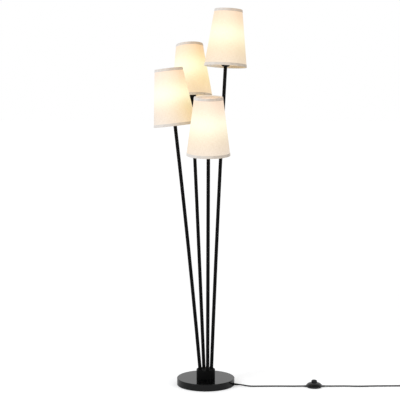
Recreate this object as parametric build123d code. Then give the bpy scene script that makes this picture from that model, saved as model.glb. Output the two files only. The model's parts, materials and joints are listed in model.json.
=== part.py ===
"""Tree floor lamp: four leaning tubes in one hub on a round weighted base, each with an empire shade and a bulb, and
a mains cord with a foot switch.

Millimetres. +Z is up, -Y is the front, and the origin is on the floor under the middle of the base. What belongs to
one lamp is made upright about Z, with height 0 at the shade's bottom rim, and then laid on that lamp's leaning axis.
"""
import os
from math import cos, dist, pi, radians, sin, sqrt, tan

from build123d import *

# ---- base -----------------------------------------------------------------------------------------------------
BASE_D = 230.0  # pressed steel cover
BASE_H = 28.0  # floor to the cover's top face
COVER_WALL = 1.5
COVER_EDGE_R = 2.0  # rounded outer edge
COVER_HOLE_R = 28.0  # under the hub, for the stud and the leads
SKIRT_GAP = 1.0  # floor to the skirt
FELT_T = 2.0
FELT_INSET = 1.5  # felt's edge inside the plate's edge
PLATE_T = 1.5
SIDE_GAP = 0.5  # between the cover's wall and what it goes over
WELL_R = 44.0  # hollow under the cast weight
WELL_DEPTH = 12.0
CHANNEL_W = 15.0  # for the cord and its grommet
CHANNEL_DEPTH = 11.6
PLATE_SCREW_R = 2.0
PLATE_SCREW_HEAD_R = 3.8
PLATE_SCREW_REACH = 8.5  # into the weight
PLATE_SCREW_AT = 90.0
PLATE_SCREWS = 3
PLATE_SCREW_TURN = 60.0  # degrees, the first one's place

# ---- hub, its stud and the grub screws --------------------------------------------------------------------------
HUB_D = 74.0
HUB_H = 34.0
HUB_EDGE_R = 1.0
CAVITY_R = 30.0  # hollow under the hub
CAVITY_DEPTH = 8.0
STUD_R = 5.0
STUD_THREAD = 13.0  # of the stud in the hub
STUD_END_GAP = 1.0  # left over in the hub's blind hole
STUD_STICK_OUT = 1.5  # below the nut
WASHER_R = 10.0
WASHER_T = 2.0
NUT_FLATS = 16.0
NUT_H = 6.0
THREAD_FIT = 0.05  # radial, in threads and other close fits
GRUB_R = 2.0
GRUB_DOWN = 10.0  # below the hub's top, along the tube
GRUB_SINK = 1.0  # below the hub's side
GRUB_KEY_FLATS = 2.0

# ---- tubes ------------------------------------------------------------------------------------------------------
TUBE_D = 14.0
TUBE_WALL = 1.9
TUBE_FIT = 0.1  # radial, in the hub's bore
TUBE_INSERT = 20.0
RING_R = 24.0  # tube centres on the hub's top
RING_TURN = 18.0  # degrees, the right tube's place on that ring
WIRE_HOLE_R = 4.2
LEAD_R = 2.0
LEAD_BEND_R = 25.0

BOW = 1.5  # degrees, how much further each tube leans at its top than at its foot

# along the tube, from the hub's top to the shade's bottom rim
RIGHT_TUBE_L = 1206.0
REAR_TUBE_L = 1094.0
LEFT_TUBE_L = 977.0
FRONT_TUBE_L = 866.0

# lamp: place on the ring (quarter turns from RING_TURN), lean to the right and to the back on the whole (degrees),
# and the tube's length
LAMPS = {
    "right": (0, 2.6, 3.0, RIGHT_TUBE_L),
    "rear": (1, -2.57, 10.3, REAR_TUBE_L),
    "left": (2, -5.75, 1.2, LEFT_TUBE_L),
    "front": (3, 0.1, -5.1, FRONT_TUBE_L),
}

# ---- holder cup, lamp holder and bulb ---------------------------------------------------------------------------
CUP_D = 35.0
CUP_H = 21.0
CUP_BELL_R = 9.0  # rounding of the cup's foot
CUP_WALL = 1.2
NIPPLE_R = 5.0
NIPPLE_WALL = 1.7
NIPPLE_BELOW = 12.0  # in the tube
NIPPLE_ABOVE = 8.0
HOLDER_R = 14.0
HOLDER_WALL = 2.0
HOLDER_FLOOR = 2.5
HOLDER_TOP = 56.0
HOLDER_FLANGE_H = 2.0
CORE_LOW = 10.0
CORE_SEAT = 28.0  # floor of the bulb's bore
CORE_TOP_GAP = 1.5
CONTACT_SLEEVE_T = 0.5
CENTRE_CONTACT_H = 2.5
CAP_R = 6.95  # 14 mm screw cap
CAP_RIM_R = 8.6
CAP_RIM_H = 2.0
GLASS_R = 17.5
GLASS_NECK_R = 8.2
GLASS_NECK_H = 4.0
GLASS_WIDEST = 30.0  # above the neck's foot
GLASS_H = 76.0
GLASS_TIP_R = 1.5
GLASS_T = 1.0
STEM_R = 4.0
STEM_H = 22.0
FILAMENT_R = 0.8
FILAMENT_H = 26.0
FILAMENT_SPREAD = 3.0

# ---- shade ------------------------------------------------------------------------------------------------------
SHADE_TOP_D = 111.0  # over the tape
SHADE_BOTTOM_D = 170.0
SHADE_H = 225.0
SKIN_T = 0.8
TAPE_T = 0.5
TAPE_H = 10.0
WIRE_R = 1.2
WIRE_ABOVE_RIM = 2.0
FITTER_R = 20.5
FITTER_T = 1.5
ARM_BEND_AT = 42.0
ARM_BEND_R = 10.0
ARMS = 3
ARM_TURN = 90.0  # degrees, the first arm's place
CLAMP_RING_R = 17.5
CLAMP_RING_H = 6.5
CLAMP_RING_NOTCHES = 12
NOTCH_R = 0.9

# ---- cord -------------------------------------------------------------------------------------------------------
CORD_D = 5.6
CORNER_SHARE = 0.45  # of the shorter run, that an arc in a corner takes up
EXIT_TURN = -16.0  # degrees, where the cord leaves the base
EXIT_Z = 8.0
EXIT_RUN = 13.0  # straight, beyond the grommet
SWITCH_RUN = 19.0  # straight, on each side of the foot switch
GROMMET_HOLE_R = 5.0
GROMMET_FLANGE_R = 6.5
GROMMET_FLANGE_T = 1.5
GROMMET_REACH = 20.0  # tapered relief outside the base
GROMMET_FOOT_R = 4.3
GROMMET_END_R = 3.3
CLAMP_AT = 36.0
CLAMP_L = 8.0
CLAMP_W = 20.0
CLAMP_SCREW_SPAN = 14.0
CLAMP_UNDER = 1.0  # under the lead
TERMINAL_R = 28.0
TERMINAL_HOLE_R = 14.0
TERMINAL_H = 8.0
TERMINAL_SOCKET = 4.0
INNER_SCREW_R = 1.5
INNER_SCREW_HEAD_R = 2.75
INNER_SCREW_HEAD_H = 1.6
INNER_SCREW_REACH = 5.0  # into the weight
TERMINAL_SCREW_TURN = 45.0  # degrees, from the right tube

# ---- foot switch ------------------------------------------------------------------------------------------------
SWITCH_X = 430.0
SWITCH_Y = -44.6
SWITCH_D = 64.0
SWITCH_FOOT_D = 58.0
SWITCH_SPLIT = 7.5  # height of the joint between the two shells
SWITCH_DOME_H = 19.3
SWITCH_DOME_TOP_R = 13.8
SAUCER_BULGE = (0.67, 0.38)  # a point of the lower curve, as shares of its way out and up
DOME_BULGE = (0.62, 0.6)  # a point of the upper curve, as shares of its way out and up
SWITCH_WALL = 2.0
STUB_Z = 3.8
STUB_R = 3.6
STUB_COLLAR = 1.0  # straight beyond the switch's widest line, before the taper
STUB_END_R = 3.1
STUB_REACH = 41.0  # from the middle to the cord
STUB_INSIDE = 24.0
BUTTON_D = 22.0
BUTTON_TOP = 27.1
BUTTON_GAP = 0.35
BUTTON_CAP_R = 7.0
BUTTON_CAP_H = 2.0
BUTTON_WALL = 2.0
BUTTON_FLANGE = 2.0  # wider than the button
BUTTON_FLANGE_T = 2.0
BUTTON_STOP_GAP = 0.3
BUTTON_RIBS = 14
BUTTON_GROOVE_R = 1.0
BUTTON_TRAVEL = 3.5
PLUNGER_R = 2.5
PLUNGER_GAP = 0.6  # over the ratchet's floor with the button down
RATCHET_R = 10.0
RATCHET_WALL = 1.8
RATCHET_FLOOR_T = 0.5
RATCHET_TOP = 9.5
RATCHET_LID = 1.5
ROTOR_R = 7.5
ROTOR_T = 2.4
ROTOR_TEETH = 8
ROTOR_TOOTH_R = 3.5  # inner end of the tooth gaps
SPRING_R = 6.0
SPRING_WIRE_R = 0.4
SPRING_TURNS = 5
SWITCH_SCREW_AT = 18.0
SWITCH_SCREW_R = 1.4
SWITCH_SCREW_HEAD_R = 2.6
SWITCH_SCREW_HEAD_H = 1.2
SWITCH_SCREW_SINK = 0.3
SWITCH_SCREW_REACH = 2.0  # above the joint between the shells
SWITCH_BOSS_R = 3.2
CONTACT_L = 8.0
CONTACT_W = 6.0
CONTACT_T = 1.2
CONTACT_GAP = 1.0  # to the ratchet cup

# ---- the cord's put-away coil, its tie and the plug --------------------------------------------------------------
COIL_X = 838.0
COIL_R = 41.0  # outermost turn's centreline
COIL_GAP = 0.6  # between turns
COIL_TURNS = 3  # in each of two layers
COIL_LEAD_OUT = 12.0  # straight, into the plug
TIE_T = 0.8
TIE_W = 8.0
TIE_GAP = 0.5
PLUG_L = 40.0
PLUG_W = 34.0
PLUG_T = 18.0
PLUG_TAIL_W = 15.0
PLUG_SHOULDER = 14.0
PLUG_EDGE_R = 3.0
RELIEF_L = 28.0
RELIEF_R = 6.2
RELIEF_END_R = 3.2
PIN_R = 2.0
PIN_L = 19.0
PIN_SPAN = 19.0

# ---- worked out from the above -----------------------------------------------------------------------------------
BASE_R = BASE_D / 2
PLATE_TOP = FELT_T + PLATE_T
INSIDE_R = BASE_R - COVER_WALL - SIDE_GAP
WEIGHT_TOP = BASE_H - COVER_WALL
WELL_TOP = PLATE_TOP + WELL_DEPTH
HUB_R = HUB_D / 2
HUB_TOP = BASE_H + HUB_H
CAVITY_TOP = BASE_H + CAVITY_DEPTH
TUBE_R = TUBE_D / 2
CUP_R = CUP_D / 2
FITTER_LOW = CUP_H + HOLDER_FLANGE_H
FITTER_TOP = FITTER_LOW + FITTER_T
CORE_R = HOLDER_R - HOLDER_WALL - THREAD_FIT
SLEEVE_R = CAP_R + THREAD_FIT + CONTACT_SLEEVE_T
CAP_LOW = CORE_SEAT + CENTRE_CONTACT_H
GLASS_LOW = HOLDER_TOP + CAP_RIM_H
CORD_R = CORD_D / 2
SWITCH_R = SWITCH_D / 2
BUTTON_R = BUTTON_D / 2
COIL_PITCH = CORD_D + COIL_GAP
COIL_Z = CORD_R + TIE_T + TIE_GAP / 2
RATCHET_FLOOR = SWITCH_WALL + RATCHET_FLOOR_T
PLUNGER_LOW = RATCHET_FLOOR + BUTTON_TRAVEL + PLUNGER_GAP

# The cord's route by hand: along the floor in nearly one line, with the small waves that it has.
EXIT_AXIS = Vector(cos(radians(EXIT_TURN)), sin(radians(EXIT_TURN)), 0)
GROMMET_END = EXIT_AXIS * (BASE_R + GROMMET_REACH) + Vector(0, 0, EXIT_Z)
FIRST_BEND = GROMMET_END + EXIT_AXIS * EXIT_RUN
ROUTE_TO_SWITCH = [
    tuple(GROMMET_END),
    tuple(FIRST_BEND),
    (173.0, -44.2, 3.1),
    (204.0, -42.7, CORD_R),
    (250.0, -41.3, CORD_R),
    (302.0, -41.0, CORD_R),
    (344.0, -42.4, CORD_R),
    (SWITCH_X - STUB_REACH - SWITCH_RUN, SWITCH_Y, STUB_Z),
    (SWITCH_X - STUB_REACH, SWITCH_Y, STUB_Z),
]
ROUTE_TO_COIL = [
    (SWITCH_X + STUB_REACH, SWITCH_Y, STUB_Z),
    (SWITCH_X + STUB_REACH + SWITCH_RUN, SWITCH_Y, STUB_Z),
    (521.0, -40.6, CORD_R),
    (556.0, -39.6, CORD_R),
    (590.0, -43.0, CORD_R),
    (622.0, -43.4, CORD_R),
    (654.0, -40.2, CORD_R),
    (704.0, -38.3, CORD_R),
    (768.0, -37.3, CORD_R),
    (812.0, -37.6, COIL_Z),
    (COIL_X, -37.6, COIL_Z),
]
COIL_Y = ROUTE_TO_COIL[-1][1] + COIL_R


# ---- shapes used again and again ---------------------------------------------------------------------------------
def disc(radius, low, high):
    """An upright cylinder between two heights."""
    return Pos(0, 0, low) * Cylinder(radius, high - low, align=(Align.CENTER, Align.CENTER, Align.MIN))


def tube(radius, inside, low, high):
    return disc(radius, low, high) - disc(inside, low, high)


def turned(outline):
    """The solid that a closed outline of (radius, height) points makes about Z."""
    wire = Polyline(*[(radius, 0, height) for radius, height in outline], close=True)
    return revolve(make_face(wire), Axis.Z)


def around(count, radius, start=0.0):
    """Places on a circle about Z, each turned to face outwards."""
    return [Rot(0, 0, start + 360 * i / count) * Pos(radius, 0, 0) for i in range(count)]


def swept(path, radius):
    """A round bar along a path."""
    return sweep(Plane(origin=path @ 0, z_dir=path % 0) * Circle(radius), path=path)


def rounded(solid, radius, top):
    """The solid with its outermost round edge at the top or at the bottom rounded."""
    end = solid.edges().group_by(Axis.Z)[-1 if top else 0]
    return fillet(end.sort_by(SortBy.LENGTH)[-1], radius)


def group(solids):
    """Loose solids of one node."""
    return Compound(children=list(solids))


# ---- each lamp's leaning axis ------------------------------------------------------------------------------------
def axis_of(lamp, further):
    """The way the tube points where it leans by so many degrees more than on the whole."""
    _, right, back, _ = LAMPS[lamp]
    on_the_whole = Vector(tan(radians(right)), tan(radians(back)), 1).normalized()
    return on_the_whole.rotate(Axis((0, 0, 0), Vector(0, 0, 1).cross(on_the_whole)), further)


def foot_axis(lamp):
    return axis_of(lamp, -BOW / 2)


def top_axis(lamp):
    return axis_of(lamp, BOW / 2)


def foot_of(lamp):
    """Where the tube's centre line leaves the hub's top."""
    turn = radians(RING_TURN + 90 * LAMPS[lamp][0])
    return Vector(RING_R * cos(turn), RING_R * sin(turn), HUB_TOP)


def top_of(lamp):
    """The other end of that line, an arc that turns by the bow: in the middle of the shade's bottom rim."""
    half_turn_of_bow = radians(BOW / 2)
    straight = LAMPS[lamp][3] * sin(half_turn_of_bow) / half_turn_of_bow
    return foot_of(lamp) + axis_of(lamp, 0) * straight


def rim_of(lamp):
    """The place of the shade's bottom rim: its middle is the origin and the lamp's axis is Z."""
    axis = top_axis(lamp)
    sideways = Vector(1, 0, 0) - axis * axis.X
    return Plane(origin=top_of(lamp), x_dir=sideways, z_dir=axis).location


def in_hub(lamp):
    """The tube's foot: the origin is on the hub's top, and the bore is along Z."""
    return Plane(origin=foot_of(lamp), z_dir=foot_axis(lamp)).location


def lead_bend(lamp):
    """Where the lead, come down through the hub, turns straight down."""
    axis = foot_axis(lamp)
    return foot_of(lamp) - axis * (HUB_TOP - CAVITY_TOP + CAVITY_DEPTH / 4) * (1 / axis.Z)


def lead_place(lamp):
    bend = lead_bend(lamp)
    return Pos(bend.X, bend.Y, 0)


def lead_path(lamp):
    """From the lamp holder down the tube, and then straight down into the terminal ring."""
    top, foot, bend = top_of(lamp), foot_of(lamp), lead_bend(lamp)
    in_holder = Line(top + top_axis(lamp) * CORE_LOW, top)
    in_tube = TangentArc(top, foot, tangent=-top_axis(lamp))
    end = Vector(bend.X, bend.Y, WELL_TOP - TERMINAL_SOCKET)
    in_base = FilletPolyline(foot, bend, end, radius=LEAD_BEND_R)
    return Wire([in_holder, in_tube, *in_base.edges()])


# ---- base --------------------------------------------------------------------------------------------------------
def along_exit(solid):
    """Lays a solid made upright about Z on the cord's line out of the base."""
    return Rot(0, 0, EXIT_TURN) * (Pos(0, 0, EXIT_Z) * (Rot(0, 90, 0) * solid))


def base_cover():
    cover = rounded(disc(BASE_R, SKIRT_GAP, BASE_H), COVER_EDGE_R, top=True)
    inside = disc(BASE_R - COVER_WALL, SKIRT_GAP, BASE_H - COVER_WALL)
    hole = along_exit(disc(GROMMET_HOLE_R, BASE_R / 2, BASE_R + GROMMET_REACH))
    return cover - inside - disc(COVER_HOLE_R, WEIGHT_TOP, BASE_H) - hole


def plate_screw():
    head = turned(
        [(0, FELT_T), (PLATE_SCREW_HEAD_R, FELT_T), (PLATE_SCREW_R, PLATE_TOP), (0, PLATE_TOP)]
    )
    return head + disc(PLATE_SCREW_R, PLATE_TOP, PLATE_TOP + PLATE_SCREW_REACH)


def plate_screws():
    return [place * plate_screw() for place in around(PLATE_SCREWS, PLATE_SCREW_AT, PLATE_SCREW_TURN)]


def inner_screw(low):
    """A pan head screw up into the weight, with its head's underside at the given height."""
    shank = disc(INNER_SCREW_R, low, WELL_TOP + INNER_SCREW_REACH)
    return shank + disc(INNER_SCREW_HEAD_R, low - INNER_SCREW_HEAD_H, low)


def inner_screws():
    clamp_low = EXIT_Z - CORD_R - CLAMP_UNDER + INNER_SCREW_HEAD_H
    clamp_places = [
        Rot(0, 0, EXIT_TURN) * Pos(CLAMP_AT, side * CLAMP_SCREW_SPAN / 2, 0) for side in (-1, 1)
    ]
    middle = (TERMINAL_R + TERMINAL_HOLE_R) / 2
    terminal_low = WELL_TOP - TERMINAL_H + INNER_SCREW_HEAD_H
    terminal_places = around(2, middle, RING_TURN + TERMINAL_SCREW_TURN)
    return [place * inner_screw(clamp_low) for place in clamp_places] + [
        place * inner_screw(terminal_low) for place in terminal_places
    ]


def base_weight():
    weight = disc(INSIDE_R, PLATE_TOP, WEIGHT_TOP) - disc(WELL_R, PLATE_TOP, WELL_TOP)
    weight -= disc(STUD_R + 5 * THREAD_FIT, WELL_TOP, WEIGHT_TOP)
    channel = Box(BASE_R, CHANNEL_W, CHANNEL_DEPTH, align=(Align.MIN, Align.CENTER, Align.MIN))
    weight -= Rot(0, 0, EXIT_TURN) * (Pos(0, 0, PLATE_TOP) * channel)
    for lamp in LAMPS:
        weight -= lead_place(lamp) * disc(WIRE_HOLE_R, WELL_TOP, WEIGHT_TOP)
    for screw in plate_screws() + inner_screws():
        weight -= screw
    return weight


def base_plate():
    plate = disc(INSIDE_R, FELT_T, PLATE_TOP)
    for screw in plate_screws():
        plate -= screw
    notch = disc(GROMMET_FLANGE_R + SIDE_GAP, INSIDE_R - 2 * GROMMET_FLANGE_T, BASE_R)
    return plate - along_exit(notch)


def felt_pad():
    return disc(INSIDE_R - FELT_INSET, 0, FELT_T)


def terminal_ring():
    low = WELL_TOP - TERMINAL_H
    ring = tube(TERMINAL_R, TERMINAL_HOLE_R, low, WELL_TOP)
    for lamp in LAMPS:
        ring -= lead_place(lamp) * disc(LEAD_R + THREAD_FIT, WELL_TOP - TERMINAL_SOCKET, WELL_TOP)
    for screw in inner_screws():
        ring -= screw
    return ring


def cord_clamp():
    low = EXIT_Z - CORD_R - CLAMP_UNDER
    block = Box(CLAMP_L, CLAMP_W, WELL_TOP - low, align=(Align.CENTER, Align.CENTER, Align.MIN))
    clamp = Rot(0, 0, EXIT_TURN) * (Pos(CLAMP_AT, 0, low) * block)
    for screw in inner_screws():
        clamp -= screw
    return clamp - supply_lead()


def supply_lead():
    """The cord's own end inside the base, from the grommet's end to the terminal ring."""
    return along_exit(disc(CORD_R, TERMINAL_R, BASE_R + GROMMET_REACH))


def cord_grommet():
    """A rubber bush snapped into the skirt, with a tapered relief outside."""
    inner_face = BASE_R - COVER_WALL
    outline = [
        (CORD_R, inner_face - GROMMET_FLANGE_T),
        (GROMMET_FLANGE_R, inner_face - GROMMET_FLANGE_T),
        (GROMMET_FLANGE_R, inner_face - SIDE_GAP),
        (GROMMET_HOLE_R, inner_face - SIDE_GAP),
        (GROMMET_HOLE_R, BASE_R),
        (GROMMET_FLANGE_R, BASE_R),
        (GROMMET_FLANGE_R, BASE_R + GROMMET_FLANGE_T),
        (GROMMET_FOOT_R, BASE_R + 2 * GROMMET_FLANGE_T),
        (GROMMET_END_R, BASE_R + GROMMET_REACH),
        (CORD_R, BASE_R + GROMMET_REACH),
    ]
    return along_exit(turned(outline))


# ---- hub ---------------------------------------------------------------------------------------------------------
def grub_plane(lamp):
    """On the tube's axis, with Z straight out of the hub's side, square to the tube."""
    axis = foot_axis(lamp)
    turn = radians(RING_TURN + 90 * LAMPS[lamp][0])
    outwards = Vector(cos(turn), sin(turn), 0)
    square = (outwards - axis * outwards.dot(axis)).normalized()
    return Plane(origin=foot_of(lamp) - axis * GRUB_DOWN, z_dir=square)


def grub_screw(lamp):
    plane = grub_plane(lamp)
    reach = HUB_R - sqrt(plane.origin.X**2 + plane.origin.Y**2) - GRUB_SINK
    key = extrude(RegularPolygon(GRUB_KEY_FLATS / 2, 6, major_radius=False), GRUB_R)
    screw = disc(GRUB_R, TUBE_R, reach) - Pos(0, 0, reach - GRUB_R) * key
    return plane.location * screw


def hub():
    body = rounded(disc(HUB_R, BASE_H, HUB_TOP), HUB_EDGE_R, top=True)
    body -= disc(CAVITY_R, BASE_H, CAVITY_TOP)
    body -= disc(STUD_R + THREAD_FIT, CAVITY_TOP, CAVITY_TOP + STUD_THREAD + STUD_END_GAP)
    for lamp in LAMPS:
        bore = disc(TUBE_R + TUBE_FIT, -TUBE_INSERT, HUB_H)
        wire_hole = disc(WIRE_HOLE_R, -HUB_H, 0)
        body -= in_hub(lamp) * (bore + wire_hole)
        body -= grub_plane(lamp).location * disc(GRUB_R + THREAD_FIT, 0, HUB_R)
    return body


def hub_stud():
    low = WELL_TOP - WASHER_T - NUT_H - STUD_STICK_OUT
    return disc(STUD_R, low, CAVITY_TOP + STUD_THREAD)


def hub_washer():
    return tube(WASHER_R, STUD_R + 5 * THREAD_FIT, WELL_TOP - WASHER_T, WELL_TOP)


def hub_nut():
    top = WELL_TOP - WASHER_T
    hexagon = extrude(RegularPolygon(NUT_FLATS / 2, 6, major_radius=False), NUT_H)
    return Pos(0, 0, top - NUT_H) * hexagon - disc(STUD_R + THREAD_FIT, top - NUT_H, top)


# ---- what each lamp has ------------------------------------------------------------------------------------------
def stem_tube(lamp):
    """Straight in the hub, and bowed above it."""
    foot, axis = foot_of(lamp), foot_axis(lamp)
    end = foot - axis * TUBE_INSERT
    path = Wire([Line(end, foot), TangentArc(foot, top_of(lamp), tangent=axis)])
    section = Circle(TUBE_R) - Circle(TUBE_R - TUBE_WALL)
    return sweep(Plane(origin=end, z_dir=axis) * section, path=path)


def nipple():
    return tube(NIPPLE_R, NIPPLE_R - NIPPLE_WALL, -NIPPLE_BELOW, NIPPLE_ABOVE)


def holder_cup():
    outside = rounded(disc(CUP_R, 0, CUP_H), CUP_BELL_R, top=False)
    inside = rounded(disc(CUP_R - CUP_WALL, CUP_WALL, CUP_H), CUP_BELL_R - CUP_WALL, top=False)
    return outside - inside - disc(NIPPLE_R + THREAD_FIT, 0, CUP_WALL)


def lamp_holder():
    """The holder's outer shell: floor on the nipple, flange on the cup, open at the top for the bulb."""
    foot_rounding = HOLDER_R - (CUP_R - CUP_BELL_R)
    shell = rounded(disc(HOLDER_R, CUP_WALL, HOLDER_TOP), foot_rounding, top=False)
    shell += disc(CUP_R, CUP_H, FITTER_LOW)
    shell -= disc(HOLDER_R - HOLDER_WALL, CUP_WALL + HOLDER_FLOOR, HOLDER_TOP)
    return shell - disc(NIPPLE_R + THREAD_FIT, CUP_WALL, CUP_WALL + HOLDER_FLOOR)


def holder_core():
    core = disc(CORE_R, CORE_LOW, HOLDER_TOP - CORE_TOP_GAP)
    return core - disc(SLEEVE_R + THREAD_FIT, CORE_SEAT, HOLDER_TOP)


def holder_contacts():
    """The screw sleeve and the centre contact."""
    sleeve = tube(SLEEVE_R, CAP_R + THREAD_FIT, CORE_SEAT, HOLDER_TOP - CORE_TOP_GAP)
    foot = CAP_R / 2
    tip = foot / 2
    middle = CORE_SEAT + CENTRE_CONTACT_H / 3
    centre = turned(
        [(0, CORE_SEAT), (foot, CORE_SEAT), (foot, middle), (tip, middle), (tip, CAP_LOW), (0, CAP_LOW)]
    )
    return [sleeve, centre]


def bulb_cap():
    tip = CAP_R / 3
    skirt = CAP_LOW + CAP_R / 2
    outline = [
        (0, CAP_LOW),
        (tip, CAP_LOW),
        (CAP_R, skirt),
        (CAP_R, HOLDER_TOP),
        (CAP_RIM_R, HOLDER_TOP),
        (CAP_RIM_R, GLASS_LOW),
        (0, GLASS_LOW),
    ]
    return turned(outline)


def candle(shrink, low):
    """A candle bulb's round form: two arcs that both stand upright where it is widest."""
    widest = GLASS_R - shrink
    neck = GLASS_NECK_R - shrink
    shoulder = GLASS_LOW + GLASS_NECK_H
    middle = GLASS_LOW + GLASS_WIDEST
    tip = GLASS_LOW + GLASS_H - shrink

    def upright_arc(radius, height):
        """From the widest point to (radius, height)."""
        inwards = widest - radius
        upwards = height - middle
        bend = (inwards**2 + upwards**2) / (2 * inwards)
        half = upwards / 2
        bulge = widest - bend + sqrt(bend**2 - half**2)
        return ThreePointArc((widest, 0, middle), (bulge, 0, middle + half), (radius, 0, height))

    outline = (
        upright_arc(neck, shoulder)
        + Line((neck, 0, shoulder), (neck, 0, low))
        + Line((neck, 0, low), (0, 0, low))
        + Line((0, 0, low), (0, 0, tip))
        + Line((0, 0, tip), (GLASS_TIP_R, 0, tip - GLASS_TIP_R))
        + upright_arc(GLASS_TIP_R, tip - GLASS_TIP_R)
    )
    return revolve(make_face(outline), Axis.Z)


def bulb_glass():
    return candle(0, GLASS_LOW) - candle(GLASS_T, CAP_LOW)


def bulb_filament():
    """The glass stem with two upright filament rods."""
    stem = turned(
        [(0, GLASS_LOW), (STEM_R, GLASS_LOW), (STEM_R, GLASS_LOW + STEM_H), (0, GLASS_LOW + STEM_H + STEM_R)]
    )
    rod = disc(FILAMENT_R, GLASS_LOW + STEM_H / 2, GLASS_LOW + STEM_H + FILAMENT_H)
    return stem + Pos(FILAMENT_SPREAD, 0, 0) * rod + Pos(-FILAMENT_SPREAD, 0, 0) * rod


# ---- shade -------------------------------------------------------------------------------------------------------
def shade_r(height):
    """The shade's outer radius, over the tape, at a height above its bottom rim."""
    return (SHADE_BOTTOM_D + (SHADE_TOP_D - SHADE_BOTTOM_D) * height / SHADE_H) / 2


def wire_ring_r(height):
    return shade_r(height) - TAPE_T - SKIN_T - WIRE_R - THREAD_FIT


def shade_skin():
    low, high = TAPE_T, SHADE_H - TAPE_T
    out_low, out_high = shade_r(low) - TAPE_T, shade_r(high) - TAPE_T
    return turned([(out_low, low), (out_high, high), (out_high - SKIN_T, high), (out_low - SKIN_T, low)])


def tape(rim, step):
    """A tape over one rim: a band outside and a lip across the edge. Step is 1 upwards and -1 downwards."""
    edge, band = rim + step * TAPE_T, rim + step * TAPE_H
    inside = shade_r(edge) - TAPE_T - SKIN_T
    return turned(
        [
            (inside, rim),
            (shade_r(rim), rim),
            (shade_r(band), band),
            (shade_r(band) - TAPE_T, band),
            (shade_r(edge) - TAPE_T, edge),
            (inside, edge),
        ]
    )


def wire_ring(height):
    return Pos(0, 0, height) * Torus(wire_ring_r(height), WIRE_R)


def shade_carrier():
    """The fitter ring, three arms and the bottom wire ring, welded into one."""
    fitter = tube(FITTER_R, HOLDER_R + 4 * THREAD_FIT, FITTER_LOW, FITTER_TOP)
    middle = (FITTER_LOW + FITTER_TOP) / 2
    path = FilletPolyline(
        (FITTER_R - WIRE_R, 0, middle),
        (ARM_BEND_AT, 0, middle),
        (wire_ring_r(WIRE_ABOVE_RIM), 0, WIRE_ABOVE_RIM),
        radius=ARM_BEND_R,
    )
    arm = swept(path, WIRE_R)
    carrier = fitter + wire_ring(WIRE_ABOVE_RIM)
    for i in range(ARMS):
        carrier += Rot(0, 0, ARM_TURN + 360 * i / ARMS) * arm
    return carrier


def clamp_ring():
    """The ring nut that holds the fitter down on the lamp holder."""
    ring = tube(CLAMP_RING_R, HOLDER_R + THREAD_FIT, FITTER_TOP, FITTER_TOP + CLAMP_RING_H)
    for place in around(CLAMP_RING_NOTCHES, CLAMP_RING_R):
        ring -= place * disc(NOTCH_R, FITTER_TOP, FITTER_TOP + CLAMP_RING_H)
    return ring


# ---- cord --------------------------------------------------------------------------------------------------------
def corner_radii(route):
    """For each corner, as large an arc as its two runs allow."""
    radii = []
    for before, corner, after in zip(route, route[1:], route[2:]):
        turn = (Vector(*corner) - Vector(*before)).get_angle(Vector(*after) - Vector(*corner))
        shorter = min(dist(before, corner), dist(corner, after))
        radii.append(CORNER_SHARE * shorter / tan(radians(turn / 2)))
    return radii


def cord_tube(name, route):
    radii = corner_radii(route)
    path = FilletPolyline(*route, radius=radii)
    solid = swept(path, CORD_R)
    full = pi * CORD_R**2 * path.length
    print(f"{name}: length {path.length:.0f}, volume / (section x length) {solid.volume / full:.4f}")
    print("  corner radii", [round(radius) for radius in radii])
    return solid, path.length


def half_turn(start, across, rise):
    """Two arcs from start round to start + across, counter-clockwise, with level tangents at both ends."""
    way = Vector(*across).cross(Vector(0, 0, 1)).normalized()
    end = start + Vector(across[0], across[1], rise)
    level = (end - start).length / 2
    middle = (start + end) * 0.5 + way * level
    first = TangentArc(start, middle, tangent=way)
    return [first, TangentArc(middle, end, tangent=(end - start).normalized())], end


def wound(start, radii, rises, side=1):
    """Half turns one after another, from side to side along Y."""
    edges, place = [], start
    for radius, rise in zip(radii, rises):
        arcs, place = half_turn(place, (0, 2 * radius * side, 0), rise)
        edges += arcs
        side = -side
    return edges, place


def coil_path():
    """Inwards on the floor, up a layer where the spiral reverses, and outwards again."""
    step = COIL_PITCH / 2
    inwards = [COIL_R - step * i for i in range(2 * COIL_TURNS)]
    reverse = COIL_R - COIL_PITCH * COIL_TURNS
    radii = inwards + [reverse] + inwards[:0:-1]
    rises = [0] * len(inwards) + [COIL_PITCH] + [0] * (len(inwards) - 1)
    start = Vector(*ROUTE_TO_COIL[-1])
    edges, end = wound(start, radii, rises)
    edges.append(Line(end, end + Vector(COIL_LEAD_OUT, 0, 0)))
    return Wire(edges), end + Vector(COIL_LEAD_OUT, 0, 0)


def gap_to_itself(path, diameter):
    """The least gap between stretches of one tube that are more than three diameters apart along it."""
    per_diameter = 2
    count = int(path.length / diameter * per_diameter)
    points = [tuple(path.position_at(i / count)) for i in range(count + 1)]
    beyond = 3 * per_diameter + 1
    apart = [dist(a, b) for i, a in enumerate(points) for b in points[i + beyond:]]
    return min(apart) - diameter


def cord_coil():
    path, _ = coil_path()
    solid = swept(path, CORD_R)
    full = pi * CORD_R**2 * path.length
    print(f"cord_coil: length {path.length:.0f}, volume / (section x length) {solid.volume / full:.4f}")
    print(f"  least gap to itself {gap_to_itself(path, CORD_D):.2f}")
    return solid, path.length


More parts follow.
